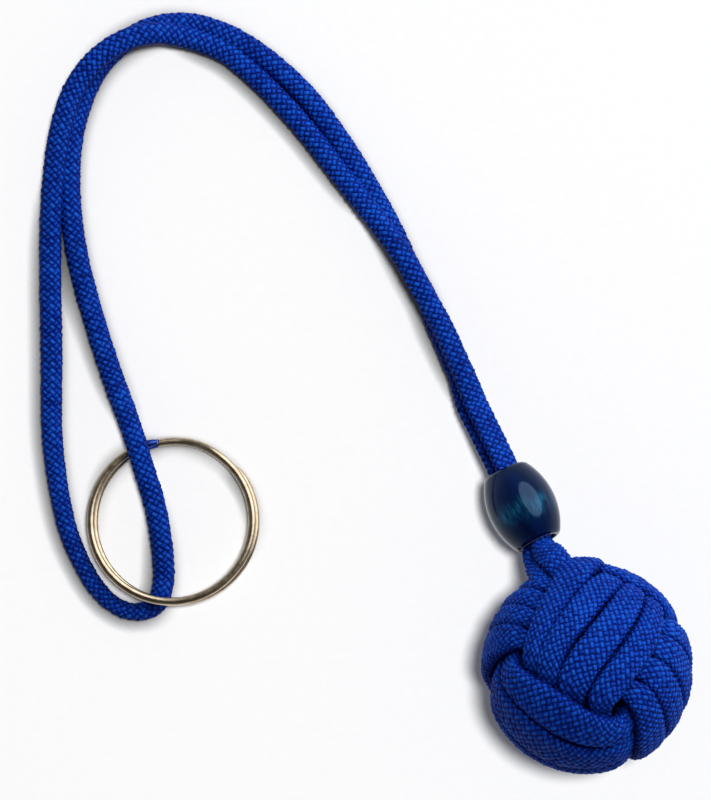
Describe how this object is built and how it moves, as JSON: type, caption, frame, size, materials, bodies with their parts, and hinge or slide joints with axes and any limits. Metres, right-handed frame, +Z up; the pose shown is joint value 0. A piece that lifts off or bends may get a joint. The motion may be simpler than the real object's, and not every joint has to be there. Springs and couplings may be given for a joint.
{
  "type": "paracord lanyard",
  "caption": "Braided cord lanyard: a monkey's fist knot tied over a steel ball, a barrel bead that slides on the doubled cord, and a split ring in the loop's end.",
  "frame": {"origin": "on the surface that the lanyard lies on, under the middle of the box round the knot, the bead and the ring, which the free cord isn't part of", "axes": "+X from the split ring towards the knot, +Y from the knot towards the crest of the loop, +Z up from the surface"},
  "size_m": [0.1191, 0.1388, 0.0373],
  "materials": {
    "cord_blue": "braided nylon sheath, royal blue",
    "steel": "plain bearing steel, out of sight in the knot",
    "stained_wood": "stained dark navy and lacquered",
    "nickel": "polished nickel plating on spring wire"
  },
  "bodies": {
    "lanyard": {"first_wraps": "cord_blue", "second_wraps": "cord_blue", "third_wraps": "cord_blue", "core_ball": "steel", "loop_cord": "cord_blue"},
    "bead": {"bead": "stained_wood"},
    "ring": {"split_ring": "nickel"}
  },
  "joints": [
    {"name": "bead_slide", "type": "slide", "parent": "lanyard", "child": "bead", "axis": [-0.4208, 0.8743, -0.2419], "range_m": [0, 0.012]},
    {"name": "ring_turn", "type": "hinge", "parent": "lanyard", "child": "ring", "pos_m": [-0.0392, 0.01445, 0.00326], "axis": [0.0233, 0.147, 0.9889], "continuous": true}
  ]
}
